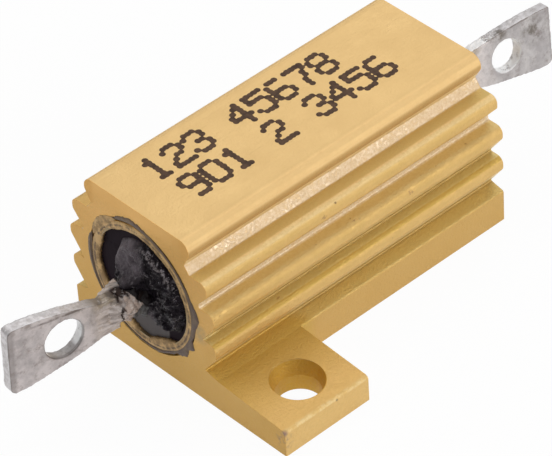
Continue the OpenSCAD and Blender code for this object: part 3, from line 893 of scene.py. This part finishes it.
def ribbon(name, end, stations, thick, fray, mat):
    """A thin ragged band that lies on the end face and narrows at both ends."""
    side, shift = SIDE[end], 0 if end == "front" else REAR_TURN
    first, last = stations[0][0], stations[-1][0]
    steps = int((last - first) / SEAM_STEP)
    sections = []
    for step in range(steps + 1):
        angle = first + (last - first) * step / steps
        inner, outer = between(stations, angle)
        run_out = min(1.0, 0.1 + min(step, steps - step) / 8)
        middle, half = (inner + outer) / 2, run_out * (outer - inner) / 2
        tear = fray * run_out * noise.noise(Vector((angle / 2.2, 3.0, side)))
        tear += 2 * fray * run_out * max(0.0, noise.noise(Vector((angle / 5, 8.0, side))) - 0.1)
        inner, outer = middle - half, max(middle + half + tear, middle - half + SEAM_MIN)
        section = ((inner, -SEAM_SINK), (inner + SEAM_ROUND, 0.6 * thick), ((inner + outer) / 2, thick),
                   (outer - SEAM_ROUND, 0.6 * thick), (outer, -SEAM_SINK))
        sections.append([on_end(side, radius, angle + shift, out) for radius, out in section])
    return add_piece(name + "_" + end, skin_over(name, sections), mat)


# ---------------------------------------------------------------- cement, terminals and crust

# The bead: angle and radius of its edge, from its middle; its spokes, the rings on them, and the hole left in
# the middle as a share of the radius
BEAD_EDGE = ((0, 2.15), (25, 2.42), (45, 2.55), (90, 2.45), (135, 2.5), (180, 2.6), (205, 2.8), (225, 2.95),
             (245, 2.6), (262, 2.2), (300, 2.25), (335, 2.12), (360, 2.15))
SPOKES, RINGS, PINHOLE = 200, 45, 0.004
BEAD_SINK = 0.05                # how far the bead goes into the moulding


def swell(place, y, z, wide, high):
    """1 at a place on the end face, from the bore axis, fading out over so far across and up."""
    return math.exp(-((place.y - y) / wide) ** 2 - ((place.z - AXIS_Z - z) / high) ** 2)


def bead_height(share, place, hollow_y, hollow_z, climb_z):
    """Height of the cement over the moulding, at a share of the way out to its edge."""
    rim = math.sin(min(1.0, (1 - share) / 0.15) * math.pi / 2)
    dome = 0.34 + 0.2 * (1 - share * share) + 0.12 * math.exp(-((share - 0.84) / 0.08) ** 2)
    hollow = 0.5 * swell(place, hollow_y, hollow_z, math.sqrt(0.3), math.sqrt(0.3))
    climb = 0.75 * swell(place, 0.45, climb_z, 0.8, 0.42)
    crease = 0.05 * abs(noise.noise(place * 1.6 + Vector((0, 0, 4.0))))
    smooth_skin = 0.75 * swell(place, 1.1, 1.7, 0.9, 0.9)
    uneven = (1 - smooth_skin) * lumps(place, (1.1, 0.2), (0.45, 0.2), (0.16, 0.1))
    return max(0.0, rim * (dome - hollow + climb - crease + uneven))


def bead(end, mat):
    """Cement on the end of the moulding, in spokes that start round a pinhole in the middle."""
    side = SIDE[end]
    mid_y, mid_z = BEAD_MIDDLE[end]
    middle = Vector((0, mid_y, AXIS_Z + mid_z))
    face = END_X - SUNK
    sections = []
    for spoke in range(SPOKES):
        angle = 360 * spoke / SPOKES
        spread = Vector((0, math.cos(math.radians(angle)), math.sin(math.radians(angle))))
        spread *= between(BEAD_EDGE, angle)[0] + 0.1 * noise.noise(Vector((angle / 18, side, 0)))
        section = []
        for ring in range(RINGS + 1):
            share = max(PINHOLE, ring / RINGS)
            place = middle + share * spread
            place.x = side * (face + bead_height(share, place, *BEAD_HOLLOW[end]))
            section.append(place)
        for share in (1.0, PINHOLE):
            place = middle + share * spread
            place.x = side * (face - BEAD_SINK)
            section.append(place)
        sections.append(section)
    return add_piece("cement_bead_" + end, skin_over("bead", sections, loop=True), mat)


def terminal_matrix(end):
    """From the terminal's own frame, X along it from the end face, to the object's."""
    swing, twist, rise, height = TERMINAL_SET[end]
    half_turn = 0 if SIDE[end] > 0 else 180
    turned = [Matrix.Rotation(math.radians(angle), 4, axis)
              for angle, axis in ((half_turn, "Z"), (swing, "Z"), (-rise, "Y"), (twist, "X"))]
    return turned[0] @ Matrix.Translation((END_X, 0, AXIS_Z + height)) @ turned[1] @ turned[2] @ turned[3]


# Where a lug's neck was pinched: middle and reach along it, and its ribs, as radians of a wave for each
# millimetre of height, and depth
PINCH_AT, PINCH_REACH = 2.0, 0.7
RIB_WAVE, RIB_DEPTH = 21, 0.055


def terminal(end, mat):
    """The lug from the CAD solid: lightly dented, with stamped ribs and lumps where it was pinched."""
    to_own = terminal_matrix(end).inverted()

    def amount(place):
        own = to_own @ place
        pinch = math.exp(-((own.x - PINCH_AT) / PINCH_REACH) ** 2)
        pinch /= 1 + math.exp(-12 * (own.z + 0.55))
        wave = math.sin(own.z * RIB_WAVE + 3 * noise.noise(own * 1.2))
        ribs = RIB_DEPTH * wave * (0.7 + noise.noise(own * 2.3))
        ribs += 0.08 * noise.noise(Vector((own.x * 2.5, own.y * 5, own.z * 8))) - 0.02
        return pinch * ribs + lumps(own, (1.6, 0.03), (0.5, 0.015), (0.2, 0.01))

    mesh = displace(one_skin(millimetre_copy("terminal_" + end), 0.05, 2), amount)
    return add_piece("lug_" + end, mesh, mat)


# Balls of crust in the terminal's frame: middle (along, from the stem's axis towards the lug, up), radii
CRUST = (((0.1, 0.0, -0.05), (0.8, 1.16, 1.1)), ((0.75, 0.0, 0.0), (0.68, 1.14, 1.08)),
         ((0.1, 0.6, -0.4), (0.4, 0.5, 0.5)), ((1.1, 0.6, 0.1), (0.4, 0.5, 0.7)),
         ((1.05, 0.45, -0.55), (0.4, 0.5, 0.4)))


def crust(end, mat):
    """The ring of solder and flux that the stem comes out of."""
    side = SIDE[end]
    bm = bmesh.new()
    for (along, across, up), radii in CRUST:
        middle = Matrix.Translation((along, side * (STEM_ASIDE - across), up))
        bmesh.ops.create_icosphere(bm, subdivisions=4, radius=1, matrix=middle @ Matrix.Diagonal((*radii, 1)))
    mesh = bpy.data.meshes.new("crust")
    bm.to_mesh(mesh)
    bm.free()
    mesh = one_skin(mesh, 0.05, 3)
    displace(mesh, lambda place: lumps(place, (0.6, 0.1), (0.28, 0.14), (0.12, 0.03)))
    mesh.transform(terminal_matrix(end))
    return add_piece("neck_crust_" + end, mesh, mat)


# ---------------------------------------------------------------- marking on the plate

DOTS = {
    "0": (".###.", "#...#", "#...#", "#...#", "#...#", "#...#", ".###."),
    "1": ("..#..", ".##..", "..#..", "..#..", "..#..", "..#..", ".###."),
    "2": (".###.", "#...#", "....#", "..##.", ".#...", "#....", "#####"),
    "3": (".###.", "#...#", "....#", "..##.", "....#", "#...#", ".###."),
    "4": ("...#.", "..##.", ".#.#.", "#..#.", "#####", "...#.", "...#."),
    "5": ("#####", "#....", "####.", "....#", "....#", "#...#", ".###."),
    "6": (".###.", "#....", "#....", "####.", "#...#", "#...#", ".###."),
    "7": ("#####", "....#", "...#.", "...#.", "..#..", "..#..", "..#.."),
    "8": (".###.", "#...#", "#...#", ".###.", "#...#", "#...#", ".###."),
    "9": (".###.", "#...#", "#...#", ".####", "....#", "....#", ".###."),
}
ROWS = (("123 45678", -7.75, 2.5), ("901 2 3456", -7.3, 0.15))   # plain digits, where they start, and top
CELL = 1.43                     # from one character to the next
DOT_X, DOT_Y, DOT_R = 0.26, 0.27, 0.18
INK_T = 0.006                   # how far the ink stands off the plate
INK_SUNK = 0.02                 # and how far it goes in
INK_DRAWN = 0.12                # the dots are joined at this thickness, and then pressed flat


def dots_of(text, left, top):
    for column, character in enumerate(text):
        for j, line in enumerate(DOTS.get(character, ())):
            for i, dot in enumerate(line):
                if dot == "#":
                    yield left + column * CELL + i * DOT_X, top - j * DOT_Y


def marking(mat):
    """Dots of ink that have run together into strokes."""
    bm = bmesh.new()
    for row in ROWS:
        for x, y in dots_of(*row):
            slip = Vector((noise.noise((x * 7, y * 7, 1)), noise.noise((x * 7, y * 7, 5)), 0))
            r = DOT_R * (1 + 0.12 * noise.noise((x * 5, y * 5, 9)))
            bmesh.ops.create_cone(bm, cap_ends=True, segments=20, radius1=r, radius2=r, depth=INK_DRAWN,
                                  matrix=Matrix.Translation(Vector((x, y, 0)) + 0.03 * slip))
    mesh = bpy.data.meshes.new("marking")
    bm.to_mesh(mesh)
    bm.free()
    mesh = one_skin(mesh, 0.03, 6)
    for vertex in mesh.vertices:
        vertex.co.z = TOP_Z + (INK_T if vertex.co.z > 0 else -INK_SUNK)
    return add_piece("plate_marking", mesh, mat)


# ---------------------------------------------------------------- the object

def set_material(node, mat):
    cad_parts[node].data.materials.clear()
    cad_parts[node].data.materials.append(mat)


def dress_housing(mat):
    """The housing from the CAD, with its sharp edges broken."""
    set_material("housing", mat)
    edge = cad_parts["housing"].modifiers.new("edge", "BEVEL")
    edge.width = 0.04 * MM
    edge.segments = 2
    edge.limit_method = "ANGLE"
    edge.angle_limit = math.radians(40)


def dress_inside():
    set_material("insulator", black_moulding())
    set_material("ceramic_core", plain_inner("ceramic", CERAMIC, 0, 0.6))
    set_material("resistance_winding", plain_inner("resistance_alloy", ALLOY, 1, 0.35))
    steel = plain_inner("cap_steel", STEEL, 1, 0.3)
    set_material("end_cap_front", steel)
    set_material("end_cap_rear", steel)


def dress_ends():
    lip_mat, residue = worn_lip(), old_residue()
    for end in SIDE:
        cement, tin, flux = black_cement(end), tinned_metal(end), flux_crust(end)
        lip(end, lip_mat)
        ribbon("seam_long", end, SEAM_LONG, 0.03, 0.05, residue)
        ribbon("seam_outer", end, SEAM_OUTER, 0.02, 0.02, residue)
        ribbon("seam_inner", end, SEAM_INNER, 0.05, 0.02, residue)
        ribbon("seam_closed", end, SEAM_CLOSED, 0.035, 0.05, lip_mat)
        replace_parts(bead(end, cement), "end_seal_" + end)
        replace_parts(terminal(end, tin), "terminal_" + end)
        crust(end, flux)


bpy.context.scene.view_settings.view_transform = "Standard"
add_camera()
add_world(WORLD_LIGHT)
for number, (place, width, power) in enumerate(SOFTBOXES):
    add_area_light(f"softbox_{number}", place, width, power)
add_floor()
dress_housing(anodised_aluminium())
dress_inside()
dress_ends()
marking(marking_ink())
